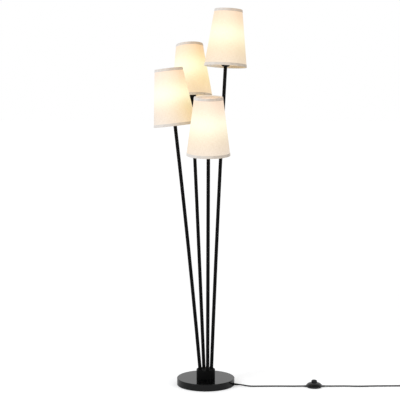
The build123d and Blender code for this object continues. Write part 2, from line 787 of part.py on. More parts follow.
def coil_tie():
    """A strap round the bundle of turns, at the back of the coil."""
    near = COIL_R - COIL_PITCH * COIL_TURNS - CORD_R - TIE_GAP
    far = COIL_R + CORD_R + TIE_GAP
    high = COIL_Z + COIL_PITCH + CORD_R + TIE_GAP
    low_corner = (Align.CENTER, Align.MIN, Align.MIN)
    outside = Pos(0, near - TIE_T, 0) * Box(TIE_W, far - near + 2 * TIE_T, high + TIE_T, align=low_corner)
    inside = Pos(0, near, TIE_T) * Box(TIE_W, far - near, high - TIE_T, align=low_corner)
    long_edges = outside.edges().filter_by(Axis.X)
    strap = fillet(long_edges, TIE_T) - inside
    return Pos(COIL_X, COIL_Y, 0) * strap


# ---- plug --------------------------------------------------------------------------------------------------------
def plug_start():
    _, end = coil_path()
    return end


def plug_body():
    start = plug_start()
    foot = start.X + RELIEF_L
    half_tail, half = PLUG_TAIL_W / 2, PLUG_W / 2
    outline = Polyline(
        (0, -half_tail),
        (PLUG_SHOULDER, -half),
        (PLUG_L, -half),
        (PLUG_L, half),
        (PLUG_SHOULDER, half),
        (0, half_tail),
        close=True,
    )
    block = extrude(make_face(outline), PLUG_T)
    block = fillet(block.edges().filter_by(Axis.Z), PLUG_EDGE_R)
    block = fillet(block.faces().sort_by(Axis.Z)[-1].edges(), PLUG_EDGE_R)
    block = chamfer(block.faces().sort_by(Axis.Z)[0].edges(), PLUG_EDGE_R / 4)
    relief = turned([(0, 0), (RELIEF_END_R, 0), (RELIEF_R, RELIEF_L + PLUG_EDGE_R), (0, RELIEF_L + PLUG_EDGE_R)])
    laid = Pos(start.X, start.Y, start.Z) * (Rot(0, 90, 0) * relief)
    return Pos(foot, start.Y, 0) * block + laid


def plug_pins():
    start = plug_start()
    face = start.X + RELIEF_L + PLUG_L
    pin = rounded(disc(PIN_R, 0, PIN_L), PIN_R / 2, top=True)
    return [
        Pos(face, start.Y + side * PIN_SPAN / 2, start.Z) * (Rot(0, 90, 0) * pin) for side in (-1, 1)
    ]


# ---- foot switch -------------------------------------------------------------------------------------------------
def at_switch(solid):
    return Pos(SWITCH_X, SWITCH_Y, 0) * solid


def saucer(shrink):
    """The lower half: from the foot out to the widest line."""
    foot, widest = SWITCH_FOOT_D / 2 - shrink / 2, SWITCH_R - shrink
    via = (
        foot + (widest - foot) * SAUCER_BULGE[0],
        0,
        shrink + (SWITCH_SPLIT - shrink) * SAUCER_BULGE[1],
    )
    outline = (
        Line((0, 0, shrink), (foot, 0, shrink))
        + ThreePointArc((foot, 0, shrink), via, (widest, 0, SWITCH_SPLIT))
        + Line((widest, 0, SWITCH_SPLIT), (0, 0, SWITCH_SPLIT))
        + Line((0, 0, SWITCH_SPLIT), (0, 0, shrink))
    )
    return revolve(make_face(outline), Axis.Z)


def dome(shrink):
    """The upper half: from the widest line up to the flat round the button."""
    widest, flat, top = SWITCH_R - shrink, SWITCH_DOME_TOP_R, SWITCH_DOME_H - shrink
    via = (
        flat + (widest - flat) * DOME_BULGE[0],
        0,
        SWITCH_SPLIT + (top - SWITCH_SPLIT) * DOME_BULGE[1],
    )
    outline = (
        Line((0, 0, SWITCH_SPLIT), (widest, 0, SWITCH_SPLIT))
        + ThreePointArc((widest, 0, SWITCH_SPLIT), via, (flat, 0, top))
        + Line((flat, 0, top), (0, 0, top))
        + Line((0, 0, top), (0, 0, SWITCH_SPLIT))
    )
    return revolve(make_face(outline), Axis.Z)


def switch_screw():
    shank = disc(SWITCH_SCREW_R, SWITCH_SCREW_HEAD_H, SWITCH_SPLIT + SWITCH_SCREW_REACH)
    return shank + disc(SWITCH_SCREW_HEAD_R, SWITCH_SCREW_SINK, SWITCH_SCREW_HEAD_H)


def switch_screws():
    return [Pos(0, side * SWITCH_SCREW_AT, 0) * switch_screw() for side in (-1, 1)]


def cord_stub():
    """The relief on each side of the switch that the cord goes into."""
    knee = SWITCH_R + STUB_COLLAR
    outline = [
        (0, STUB_INSIDE),
        (STUB_R, STUB_INSIDE),
        (STUB_R, knee),
        (STUB_END_R, STUB_REACH),
        (0, STUB_REACH),
    ]
    return Pos(0, 0, STUB_Z) * (Rot(0, 90, 0) * turned(outline))


def switch_bottom():
    shell = saucer(0) - saucer(SWITCH_WALL)
    stub = cord_stub()
    shell = shell + stub + Rot(0, 0, 180) * stub
    for screw in switch_screws():
        shell -= screw
    for side in (-1, 1):
        shell -= Pos(0, side * SWITCH_SCREW_AT, 0) * disc(SWITCH_SCREW_HEAD_R, 0, SWITCH_SCREW_HEAD_H)
    return shell


def switch_top():
    shell = dome(0) - dome(SWITCH_WALL)
    inside = dome(0) + disc(SWITCH_FOOT_D / 2, SWITCH_WALL, SWITCH_SPLIT)
    post = disc(SWITCH_BOSS_R, SWITCH_WALL, SWITCH_DOME_H)
    for side in (-1, 1):
        shell += (Pos(0, side * SWITCH_SCREW_AT, 0) * post) & inside
    for screw in switch_screws():
        shell -= screw
    return shell - disc(BUTTON_R + BUTTON_GAP, 0, SWITCH_DOME_H)


def switch_button():
    flange_top = SWITCH_DOME_H - SWITCH_WALL - BUTTON_STOP_GAP
    flange_low = flange_top - BUTTON_FLANGE_T
    flange_r = BUTTON_R + BUTTON_FLANGE
    button = rounded(disc(BUTTON_R, flange_low, BUTTON_TOP), BUTTON_WALL / 2, top=True)
    button += disc(flange_r, flange_low, flange_top)
    cap = rounded(disc(BUTTON_CAP_R, BUTTON_TOP, BUTTON_TOP + BUTTON_CAP_H), BUTTON_CAP_H / 2, top=True)
    button += cap
    button -= disc(BUTTON_R - BUTTON_WALL, flange_low, BUTTON_TOP - BUTTON_WALL)
    button += disc(PLUNGER_R + BUTTON_WALL / 2, BUTTON_TOP - 3 * BUTTON_WALL, BUTTON_TOP - BUTTON_WALL)
    button -= disc(PLUNGER_R, flange_low, BUTTON_TOP - BUTTON_WALL)
    groove = disc(BUTTON_GROOVE_R, flange_top, BUTTON_TOP)
    for place in around(BUTTON_RIBS, BUTTON_R + BUTTON_GROOVE_R / 4):
        button -= place * groove
    return button


def switch_plunger():
    return disc(PLUNGER_R, PLUNGER_LOW, BUTTON_TOP - BUTTON_WALL)


def ratchet_cup():
    """The fixed housing that the plunger works in."""
    hole = PLUNGER_R + BUTTON_GAP + THREAD_FIT
    cup = disc(RATCHET_R, SWITCH_WALL, RATCHET_TOP)
    cup -= disc(RATCHET_R - RATCHET_WALL, RATCHET_FLOOR, RATCHET_TOP - RATCHET_LID)
    return cup - disc(hole, RATCHET_FLOOR, RATCHET_TOP)


def ratchet_rotor():
    """The toothed ring that steps round at each push and carries the moving contact."""
    low, high = RATCHET_FLOOR, RATCHET_FLOOR + ROTOR_T
    rotor = tube(ROTOR_R, PLUNGER_R + BUTTON_GAP + THREAD_FIT, low, high)
    tooth_gap = Box(ROTOR_R, ROTOR_T / 2, ROTOR_T, align=(Align.MIN, Align.CENTER, Align.CENTER))
    for place in around(ROTOR_TEETH, ROTOR_TOOTH_R):
        rotor -= place * (Pos(0, 0, high) * tooth_gap)
    return rotor


def switch_spring():
    """A compression spring between the ratchet's lid and the underside of the button's top."""
    low = RATCHET_TOP + SPRING_WIRE_R
    high = BUTTON_TOP - BUTTON_WALL - SPRING_WIRE_R - BUTTON_STOP_GAP
    halves = 2 * SPRING_TURNS
    rise = (high - low) / halves
    edges, _ = wound(Vector(0, -SPRING_R, low), [SPRING_R] * halves, [rise] * halves)
    return swept(Wire(edges), SPRING_WIRE_R)


def switch_contacts():
    """A brass terminal strip on each side, from the ratchet to the cord's end."""
    start = RATCHET_R + CONTACT_GAP
    strip = Pos(start, 0, SWITCH_WALL) * Box(
        CONTACT_L, CONTACT_W, CONTACT_T, align=(Align.MIN, Align.CENTER, Align.MIN)
    )
    block = Pos(start + CONTACT_L / 2, 0, SWITCH_WALL + CONTACT_T) * Box(
        CONTACT_L / 2, CONTACT_W, 2 * CONTACT_T, align=(Align.MIN, Align.CENTER, Align.MIN)
    )
    contact = strip + block
    return [contact, Rot(0, 0, 180) * contact]


# ---- the whole lamp ----------------------------------------------------------------------------------------------
def build():
    to_switch, first_length = cord_tube("cord_to_switch", ROUTE_TO_SWITCH)
    to_coil, second_length = cord_tube("cord_to_coil", ROUTE_TO_COIL)
    coil, coil_length = cord_coil()
    through_switch = 2 * STUB_REACH
    print(f"whole cord {first_length + second_length + coil_length + through_switch:.0f}")
    parts = {
        "base_cover": base_cover(),
        "base_weight": base_weight(),
        "base_plate": base_plate(),
        "base_plate_screws": group(plate_screws()),
        "felt_pad": felt_pad(),
        "terminal_ring": terminal_ring(),
        "cord_clamp": cord_clamp(),
        "inner_screws": group(inner_screws()),
        "supply_lead": supply_lead(),
        "cord_grommet": cord_grommet(),
        "hub": hub(),
        "hub_stud": hub_stud(),
        "hub_washer": hub_washer(),
        "hub_nut": hub_nut(),
        "hub_grub_screws": group(grub_screw(lamp) for lamp in LAMPS),
        "tube_leads": group(swept(lead_path(lamp), LEAD_R) for lamp in LAMPS),
        "tube_nipples": group(rim_of(lamp) * nipple() for lamp in LAMPS),
        "lamp_holders": group(rim_of(lamp) * lamp_holder() for lamp in LAMPS),
        "holder_cores": group(rim_of(lamp) * holder_core() for lamp in LAMPS),
        "holder_contacts": group(rim_of(lamp) * piece for lamp in LAMPS for piece in holder_contacts()),
        "shade_clamp_rings": group(rim_of(lamp) * clamp_ring() for lamp in LAMPS),
        "shade_top_wires": group(rim_of(lamp) * wire_ring(SHADE_H - WIRE_ABOVE_RIM) for lamp in LAMPS),
        "bulb_caps": group(rim_of(lamp) * bulb_cap() for lamp in LAMPS),
        "bulb_filaments": group(rim_of(lamp) * bulb_filament() for lamp in LAMPS),
        "cord_to_switch": to_switch,
        "cord_to_coil": to_coil,
        "cord_coil": coil,
        "coil_tie": coil_tie(),
        "plug_body": plug_body(),
        "plug_pins": group(plug_pins()),
        "switch_bottom": at_switch(switch_bottom()),
        "switch_top": at_switch(switch_top()),
        "switch_button": at_switch(switch_button()),
        "switch_plunger": at_switch(switch_plunger()),
        "switch_spring": at_switch(switch_spring()),
        "switch_ratchet_cup": at_switch(ratchet_cup()),
        "switch_rotor": at_switch(ratchet_rotor()),
        "switch_contacts": at_switch(group(switch_contacts())),
        "switch_screws": at_switch(group(switch_screws())),
    }
    for lamp in LAMPS:
        rim = rim_of(lamp)
        parts[f"tube_{lamp}"] = stem_tube(lamp)
        parts[f"holder_cup_{lamp}"] = rim * holder_cup()
        parts[f"bulb_glass_{lamp}"] = rim * bulb_glass()
        parts[f"shade_carrier_{lamp}"] = rim * shade_carrier()
        parts[f"shade_skin_{lamp}"] = rim * shade_skin()
    rims = [(0, 1), (SHADE_H, -1)]
    parts["shade_tapes"] = group(rim_of(lamp) * tape(*rim) for lamp in LAMPS for rim in rims)
    return parts


os.makedirs("parts", exist_ok=True)
for name, shape in build().items():
    export_step(shape, f"parts/{name}.step")
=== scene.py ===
"""Tree floor lamp: black tubes with four lit fabric shades on a round base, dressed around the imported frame.

Metres. +Z is up, -Y is the front, and the origin is on the floor under the middle of the base.
"""
import json
from math import cos, pi, radians, sin, tan

import bmesh
import bpy
from mathutils import Matrix, Vector


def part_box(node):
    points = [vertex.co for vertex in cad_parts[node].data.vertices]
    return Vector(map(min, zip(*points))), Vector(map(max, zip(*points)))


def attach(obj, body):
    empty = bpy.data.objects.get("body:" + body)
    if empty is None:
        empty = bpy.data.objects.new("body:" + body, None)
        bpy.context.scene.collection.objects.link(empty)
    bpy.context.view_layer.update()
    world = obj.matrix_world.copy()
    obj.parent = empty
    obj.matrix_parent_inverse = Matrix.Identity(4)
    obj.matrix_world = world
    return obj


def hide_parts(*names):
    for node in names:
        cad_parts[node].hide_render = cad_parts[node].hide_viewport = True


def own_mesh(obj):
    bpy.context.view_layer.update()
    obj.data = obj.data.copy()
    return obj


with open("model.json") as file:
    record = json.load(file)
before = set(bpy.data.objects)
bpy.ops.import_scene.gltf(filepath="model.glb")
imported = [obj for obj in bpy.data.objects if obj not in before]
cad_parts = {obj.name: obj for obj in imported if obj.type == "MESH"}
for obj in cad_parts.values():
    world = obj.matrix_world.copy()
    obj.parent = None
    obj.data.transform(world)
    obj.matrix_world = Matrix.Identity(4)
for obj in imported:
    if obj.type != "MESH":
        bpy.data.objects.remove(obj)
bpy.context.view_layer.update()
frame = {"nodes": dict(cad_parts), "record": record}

MM = 0.001


# ---- camera --------------------------------------------------------------------------------------
# As fitted to the ellipses of the base and the rims.
CAMERA_PLACE = (-0.0231, -4.5, 1.2092)
CAMERA_TILT = radians(84.07)  # from straight down
LENS = 103.28  # millimetres, as the sensor's width is
SENSOR_WIDTH = 36.0


def place_camera():
    camera = bpy.data.objects.new("camera", bpy.data.cameras.new("camera"))
    camera.data.sensor_width = SENSOR_WIDTH
    camera.data.lens = LENS
    camera.location = CAMERA_PLACE
    camera.rotation_euler = (CAMERA_TILT, 0.0, 0.0)
    bpy.context.collection.objects.link(camera)
    bpy.context.scene.camera = camera


place_camera()

# ---- cord ----------------------------------------------------------------------------------------
CORD_R = 0.0028
EXIT_TURN = radians(-16.0)
GROMMET_END = 0.135  # from the base's middle
HIDDEN_END = 0.004  # of cord inside a strain relief
EXIT_Z = 0.008  # the height of its middle there
STUB_Z = 0.0038  # and at the switch's strain reliefs
SWITCH_Y = -0.0446
SWITCH_LEFT = 0.389  # ends of the switch's strain reliefs
SWITCH_RIGHT = 0.471
COIL_X = 0.838  # where the coil starts
COIL_Y = -0.0376
COIL_Z = 0.00385
COIL_R = 0.041  # of its outer turns
COIL_PITCH = 0.0062  # from turn to turn, and from layer to layer
COIL_TURNS = 3  # in each of two layers
COIL_POINTS = 8  # for each half turn
COIL_LEAD_OUT = 0.012


def out_of_base(distance, height):
    """A point on the line on which the cord leaves the base."""
    return (distance * cos(EXIT_TURN), distance * sin(EXIT_TURN), height)


def coil_points(x, y, z):
    """Half turns from side to side: inwards on the floor, and outwards again on top of them."""
    inwards = [COIL_R - COIL_PITCH / 2 * i for i in range(2 * COIL_TURNS)]
    radii = inwards + [COIL_R - COIL_PITCH * COIL_TURNS] + inwards[:0:-1]
    step = pi / COIL_POINTS
    points, side = [], 1
    for i, radius in enumerate(radii):
        rise = COIL_PITCH if i == len(inwards) else 0.0
        corner = radius / cos(step / 2)
        for k in range(COIL_POINTS):
            turn = (k + 0.5) * step
            points.append(
                (
                    x + side * corner * sin(turn),
                    y + side * (radius - corner * cos(turn)),
                    z + rise * (k + 0.5) / COIL_POINTS,
                )
            )
        y += 2 * side * radius
        z += rise
        side = -side
    return points + [(x + COIL_LEAD_OUT + HIDDEN_END, y, z)]


TO_SWITCH = [
    out_of_base(GROMMET_END - HIDDEN_END, EXIT_Z),
    out_of_base(0.148, EXIT_Z),
    (0.173, -0.0442, 0.0031),
    (0.204, -0.0427, CORD_R),
    (0.250, -0.0413, CORD_R),
    (0.302, -0.0410, CORD_R),
    (0.344, -0.0424, CORD_R),
    (0.370, SWITCH_Y, STUB_Z),
    (SWITCH_LEFT + HIDDEN_END, SWITCH_Y, STUB_Z),
]
TO_PLUG = [
    (SWITCH_RIGHT - HIDDEN_END, SWITCH_Y, STUB_Z),
    (0.490, SWITCH_Y, STUB_Z),
    (0.521, -0.0406, CORD_R),
    (0.556, -0.0396, CORD_R),
    (0.590, -0.0430, CORD_R),
    (0.622, -0.0434, CORD_R),
    (0.654, -0.0402, CORD_R),
    (0.704, -0.0383, CORD_R),
    (0.768, -0.0373, CORD_R),
    (0.812, COIL_Y, COIL_Z),
] + coil_points(COIL_X, COIL_Y, COIL_Z)


def lay_cord(name, points):
    """A round cord on one smooth spline."""
    curve = bpy.data.curves.new(name, "CURVE")
    curve.dimensions = "3D"
    curve.bevel_depth = 1.0  # times each point's own radius
    curve.bevel_resolution = 4
    curve.use_fill_caps = True
    curve.resolution_u = 8
    spline = curve.splines.new("NURBS")
    spline.points.add(len(points) - 1)
    for point, place in zip(spline.points, points):
        point.co = (*place, 1.0)
        point.radius = CORD_R
    spline.order_u = 3
    spline.use_endpoint_u = True
    cord = bpy.data.objects.new(name, curve)
    bpy.context.collection.objects.link(cord)
    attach(cord, "lamp")
    return cord


cord_a = lay_cord("cord_base_to_switch", TO_SWITCH)
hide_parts("cord_to_switch")
cord_b = lay_cord("cord_switch_to_plug", TO_PLUG)
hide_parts("cord_to_coil", "cord_coil")


# ---- materials -----------------------------------------------------------------------------------
def linear(hex_code):
    """An sRGB hex colour as linear RGBA."""
    parts = [int(hex_code[i:i + 2], 16) / 255 for i in (1, 3, 5)]
    return tuple(p / 12.92 if p <= 0.04045 else ((p + 0.055) / 1.055) ** 2.4 for p in parts) + (1.0,)


def add(tree, kind, inputs=(), **settings):
    """Adds a shader node. An input is named or numbered, and is a value or another node's output."""
    made = tree.nodes.new(kind)
    for name, value in settings.items():
        setattr(made, name, value)
    for name, value in dict(inputs).items():
        if isinstance(value, bpy.types.NodeSocket):
            tree.links.new(value, made.inputs[name])
        else:
            made.inputs[name].default_value = value
    return made


def surface(name, inputs):
    """A new material, its node tree and its shader with those inputs set."""
    material = bpy.data.materials.new(name)
    material.use_nodes = True
    shader = material.node_tree.nodes["Principled BSDF"]
    for socket, value in inputs.items():
        shader.inputs[socket].default_value = value
    return material, material.node_tree, shader


def link(tree, output, shader, socket):
    tree.links.new(output, shader.inputs[socket])


# The numbers of a Mix node's colour sockets, because several of its sockets share each name.
COLOUR_A, COLOUR_B = 6, 7
MIXED = 2
NOISE_MIN, NOISE_MAX = 0.3, 0.7  # between which nearly all values of a noise texture lie


def mottled(tree, vector, size, low, high, detail=3.0):
    """Soft noise with spots of a real size in metres, between two values."""
    noise = add(tree, "ShaderNodeTexNoise", {"Vector": vector, "Scale": 1 / size, "Detail": detail})
    spread = {
        "Value": noise.outputs["Fac"],
        "From Min": NOISE_MIN,
        "From Max": NOISE_MAX,
        "To Min": low,
        "To Max": high,
    }
    return add(tree, "ShaderNodeMapRange", spread).outputs["Result"]


def raised(tree, shader, height, depth):
    """Relief of a real depth in metres."""
    bump = add(tree, "ShaderNodeBump", {"Height": height, "Distance": depth, "Strength": 1.0})
    link(tree, bump.outputs["Normal"], shader, "Normal")


def powder_coat():
    """Black satin powder coat on steel: near black, with a fine orange peel that breaks up its highlights."""
    material, tree, shader = surface(
        "satin_black_powder_coat", {"Base Color": linear("#0a0a0a"), "Specular IOR Level": 0.1}
    )
    place = add(tree, "ShaderNodeTexCoord").outputs["Object"]
    link(tree, mottled(tree, place, 60 * MM, 0.62, 0.7), shader, "Roughness")
    raised(tree, shader, mottled(tree, place, 1.2 * MM, 0.0, 1.0, detail=1.0), 0.01 * MM)
    return material


def gloss_lacquer():
    """Black gloss lacquer on the pressed cover: a dark mirror, a little wavy, with faint wiping marks."""
    material, tree, shader = surface(
        "gloss_black_lacquer", {"Base Color": linear("#080808"), "Specular IOR Level": 0.3}
    )
    place = add(tree, "ShaderNodeTexCoord").outputs["Object"]
    link(tree, mottled(tree, place, 45 * MM, 0.05, 0.11), shader, "Roughness")
    raised(tree, shader, mottled(tree, place, 14 * MM, 0.0, 1.0, detail=1.0), 0.006 * MM)
    return material


def cord_pvc():
    """Extruded black PVC: smooth, a little greyed by handling."""
    material, tree, shader = surface("black_extruded_pvc", {"Roughness": 0.6, "Specular IOR Level": 0.2})
    place = add(tree, "ShaderNodeTexCoord").outputs["Object"]
    shade = mottled(tree, place, 25 * MM, 0.0, 1.0)
    blacks = {"Factor": shade, COLOUR_A: linear("#0f0f0f"), COLOUR_B: linear("#1a1a19")}
    mix = add(tree, "ShaderNodeMix", blacks, data_type="RGBA")
    link(tree, mix.outputs[MIXED], shader, "Base Color")
    raised(tree, shader, mottled(tree, place, 0.8 * MM, 0.0, 1.0), 0.01 * MM)
    return material


def moulded(name, dark, light, roughness, grain, depth):
    """A moulded plastic, or a plain skin such as ceramic or paint: two near shades, and a grain."""
    material, tree, shader = surface(name, {"Roughness": roughness})
    place = add(tree, "ShaderNodeTexCoord").outputs["Object"]
    shade = mottled(tree, place, 18 * MM, 0.0, 1.0)
    shades = {"Factor": shade, COLOUR_A: linear(dark), COLOUR_B: linear(light)}
    mix = add(tree, "ShaderNodeMix", shades, data_type="RGBA")
    link(tree, mix.outputs[MIXED], shader, "Base Color")
    raised(tree, shader, mottled(tree, place, grain, 0.0, 1.0, detail=2.0), depth)
    return material


def metal(name, dark, light, roughness, grain):
    """A bare or plated metal: fine marks from turning, drawing or casting."""
    material, tree, shader = surface(name, {"Metallic": 1.0, "Roughness": roughness})
    place = add(tree, "ShaderNodeTexCoord").outputs["Object"]
    shade = mottled(tree, place, grain, 0.0, 1.0)
    shades = {"Factor": shade, COLOUR_A: linear(dark), COLOUR_B: linear(light)}
    mix = add(tree, "ShaderNodeMix", shades, data_type="RGBA")
    link(tree, mix.outputs[MIXED], shader, "Base Color")
    raised(tree, shader, shade, 0.01 * MM)
    return material


# The shades' sizes are in millimetres.
SHADE_H = 225.0
SHADE_R_LOW = 85.0
SHADE_R_HIGH = 55.5
ROUND_R = (SHADE_R_LOW + SHADE_R_HIGH) / 2  # by which the way round the cloth is measured
CLOTH_MAP = "cloth"


def weave(tree, laid, spacing):
    """Plain weave: the product of the two sets of threads."""
    scale = 2 * pi / spacing
    parts = add(tree, "ShaderNodeSeparateXYZ", {0: laid}).outputs
    waves = []
    for part in (parts["X"], parts["Y"]):
        phase = add(tree, "ShaderNodeMath", {0: part, 1: scale}, operation="MULTIPLY").outputs[0]
        waves.append(add(tree, "ShaderNodeMath", {0: phase}, operation="SINE").outputs[0])
    crossed = add(tree, "ShaderNodeMath", {0: waves[0], 1: waves[1]}, operation="MULTIPLY").outputs[0]
    return add(tree, "ShaderNodeMapRange", {"Value": crossed, "From Min": -1.0, "From Max": 1.0}).outputs[0]


SLUB_WIDTH = 1.2 * MM
SLUB_LENGTH = 14 * MM
SLUBS_MIN, SLUBS_MAX = 0.75, 1.25  # between which nearly all sums of two noises lie


def slubs(tree, laid, low, high):
    """Thick places in the threads, along both sets of them."""
    values = []
    for across, up in ((SLUB_WIDTH, SLUB_LENGTH), (SLUB_LENGTH, SLUB_WIDTH)):
        stretch = (1 / across, 1 / up, 1.0)
        drawn = add(tree, "ShaderNodeMapping", {"Vector": laid, "Scale": stretch}).outputs[0]
        noise = add(tree, "ShaderNodeTexNoise", {"Vector": drawn, "Scale": 1.0, "Detail": 2.0})
        values.append(noise.outputs["Fac"])
    both = add(tree, "ShaderNodeMath", {0: values[0], 1: values[1]}, operation="ADD").outputs[0]
    spread = {"Value": both, "From Min": SLUBS_MIN, "From Max": SLUBS_MAX, "To Min": low, "To Max": high}
    return add(tree, "ShaderNodeMapRange", spread).outputs["Result"]


# Painted glow, as emission: what the bulb's light gives through the fabric, by height on the shade: brightest
# level with the bulb. Each line has a share of the shade's height, the colour there on a shade's pale side,
# and on its warm side.
PAINTED_GLOW = [
    (0.00, "#a39a90", "#aa8c5e"),
    (0.20, "#a69281", "#bc9a46"),
    (0.36, "#b7a990", "#c1aa58"),
    (0.56, "#dad6bd", "#dad298"),
    (0.72, "#c5b29e", "#cbb165"),
    (0.90, "#b89c88", "#be8e42"),
]
# Painted light across each shade's glow: how warm it is on its left and on its right, from the studio light on
# its left and the other lamps' light that comes through.
PAINTED_WARMTH = {"right": (0.45, 0.55), "rear": (0.35, 0.9), "left": (0.0, 0.78), "front": (0.3, 0.2)}
# How strong the painted glow is on the whole: the bulbs differ a little.
BULBS = {"right": 1.0, "rear": 1.08, "left": 1.0, "front": 1.0}


def rightwards(tree, laid):
    """How far to the right a place on a shade is: from -1 on its left to 1 on its right."""
    parts = add(tree, "ShaderNodeSeparateXYZ", {0: laid}).outputs
    turn = add(tree, "ShaderNodeMath", {0: parts["X"], 1: ROUND_R * MM}, operation="DIVIDE").outputs[0]
    return add(tree, "ShaderNodeMath", {0: turn}, operation="COSINE").outputs[0]


def painted_glow(tree, laid, dim, lamp):
    """The painted glow through the fabric, with painted light across it, and how much of it a shade's mottled
    fabric lets through.
    """
    parts = add(tree, "ShaderNodeSeparateXYZ", {0: laid}).outputs
    share = add(tree, "ShaderNodeMath", {0: parts["Y"], 1: SHADE_H * MM}, operation="DIVIDE").outputs[0]
    sides = []
    for which in (1, 2):
        ramp = add(tree, "ShaderNodeValToRGB", {"Fac": share})
        ramp.color_ramp.interpolation = "B_SPLINE"
        stops = ramp.color_ramp.elements
        while len(stops) < len(PAINTED_GLOW):
            stops.new(0.5)
        for stop, colours in zip(stops, PAINTED_GLOW):
            stop.position = colours[0]
            stop.color = linear(colours[which])
        sides.append(ramp.outputs["Color"])
    # Painted light: the glow's warmth changes from the shade's left to its right.
    at_left, at_right = PAINTED_WARMTH[lamp]
    across = {"Value": rightwards(tree, laid), "From Min": -1.0, "To Min": at_left, "To Max": at_right}
    warm = add(tree, "ShaderNodeMapRange", across).outputs["Result"]
    between = {"Factor": warm, COLOUR_A: sides[0], COLOUR_B: sides[1]}
    lit = add(tree, "ShaderNodeMix", between, data_type="RGBA").outputs[MIXED]
    dimmed = {"Factor": 1.0, COLOUR_A: lit, COLOUR_B: dim}
    return add(tree, "ShaderNodeMix", dimmed, data_type="RGBA", blend_type="MULTIPLY").outputs[MIXED]


SLUB_LETS_THROUGH = 0.95  # of the painted glow that the fabric gives between its slubs


def shade_fabric(lamp):
    """Woven polyester on a clear liner: off-white threads with slubs, lit by a painted glow.

    The threads are 0.45 mm apart, and drawn 1.8 mm apart to show.
    """
    material, tree, shader = surface(
        f"laminated_shade_fabric_{lamp}",
        {"Roughness": 0.85, "Sheen Weight": 0.15, "Emission Strength": BULBS[lamp]},
    )
    laid = add(tree, "ShaderNodeUVMap", uv_map=CLOTH_MAP).outputs["UV"]
    threads = weave(tree, laid, 1.8 * MM)
    thick = slubs(tree, laid, 0.0, 1.0)
    cloth = {"Factor": thick, COLOUR_A: linear("#cbc3b9"), COLOUR_B: linear("#bfb6aa")}
    colour = add(tree, "ShaderNodeMix", cloth, data_type="RGBA").outputs[MIXED]
    link(tree, colour, shader, "Base Color")
    dimming = {"Value": thick, "To Min": 1.0, "To Max": SLUB_LETS_THROUGH}
    let_through = add(tree, "ShaderNodeMapRange", dimming).outputs["Result"]
    link(tree, painted_glow(tree, laid, let_through, lamp), shader, "Emission Color")
    both = add(tree, "ShaderNodeMath", {0: threads, 1: thick}, operation="ADD").outputs[0]
    raised(tree, shader, both, 0.05 * MM)
    return material


TAPE_PAINTED_LIGHT_LEFT = "#949698"  # painted light: the studio light on each shade's tape at its left, painted as a paler emission
TAPE_PAINTED_LIGHT_ENDS = 0.3  # how far to the right that painted light reaches, as rightwards() counts
TAPE_LETS_THROUGH = (0.45, 0.25)  # of the painted glow behind it, where its glue is thin and where it is thick


def trim_tape(lamp):
    """Cotton tape over the rims: warm grey, uneven from its glue, thick enough to dim the painted glow behind,
    with painted studio light at its left.

    Its weave is drawn 1.2 mm apart to show.
    """
    material, tree, shader = surface(
        f"ribbed_cotton_tape_{lamp}",
        {"Roughness": 0.9, "Sheen Weight": 0.2, "Emission Strength": BULBS[lamp]},
    )
    laid = add(tree, "ShaderNodeUVMap", uv_map=CLOTH_MAP).outputs["UV"]
    threads = weave(tree, laid, 1.2 * MM)
    patches = mottled(tree, laid, 22 * MM, 0.0, 1.0, detail=2.0)
    cloth = {"Factor": patches, COLOUR_A: linear("#c0b8ad"), COLOUR_B: linear("#b2a89e")}
    link(tree, add(tree, "ShaderNodeMix", cloth, data_type="RGBA").outputs[MIXED], shader, "Base Color")
    thin, thick = TAPE_LETS_THROUGH
    dimming = {"Value": patches, "To Min": thin, "To Max": thick}
    dim = add(tree, "ShaderNodeMapRange", dimming).outputs["Result"]
    # Painted light: the studio light on the tape's left side, mixed in as a paler emission.
    painted_light_share = {
        "Value": rightwards(tree, laid),
        "From Min": -1.0,
        "From Max": TAPE_PAINTED_LIGHT_ENDS,
        "To Min": 1.0,
        "To Max": 0.0,
    }
    left = add(tree, "ShaderNodeMapRange", painted_light_share).outputs["Result"]
    lit = {"Factor": left, COLOUR_A: painted_glow(tree, laid, dim, lamp), COLOUR_B: linear(TAPE_PAINTED_LIGHT_LEFT)}
    link(tree, add(tree, "ShaderNodeMix", lit, data_type="RGBA").outputs[MIXED], shader, "Emission Color")
    raised(tree, shader, threads, 0.08 * MM)
    return material


def opal_glass():
    """Opal candle bulb, lit: white glass that glows all over, in two near shades."""
    material, tree, shader = surface(
        "lit_opal_glass", {"Base Color": linear("#f4efe4"), "Roughness": 0.2, "Emission Strength": 2.2}
    )
    place = add(tree, "ShaderNodeTexCoord").outputs["Object"]
    shade = mottled(tree, place, 30 * MM, 0.0, 1.0)
    lit = {"Factor": shade, COLOUR_A: linear("#ffe6b8"), COLOUR_B: linear("#ffedc9")}
    link(tree, add(tree, "ShaderNodeMix", lit, data_type="RGBA").outputs[MIXED], shader, "Emission Color")
    return material


def felt():
    """Pressed black felt: soft short fibres."""
    material, tree, shader = surface("pressed_black_felt", {"Roughness": 1.0, "Sheen Weight": 0.4})
    place = add(tree, "ShaderNodeTexCoord").outputs["Object"]
    fibres = mottled(tree, place, 0.9 * MM, 0.0, 1.0, detail=4.0)
    blacks = {"Factor": fibres, COLOUR_A: linear("#141413"), COLOUR_B: linear("#2a2927")}
    mix = add(tree, "ShaderNodeMix", blacks, data_type="RGBA")
    link(tree, mix.outputs[MIXED], shader, "Base Color")
    raised(tree, shader, fibres, 0.3 * MM)
    return material


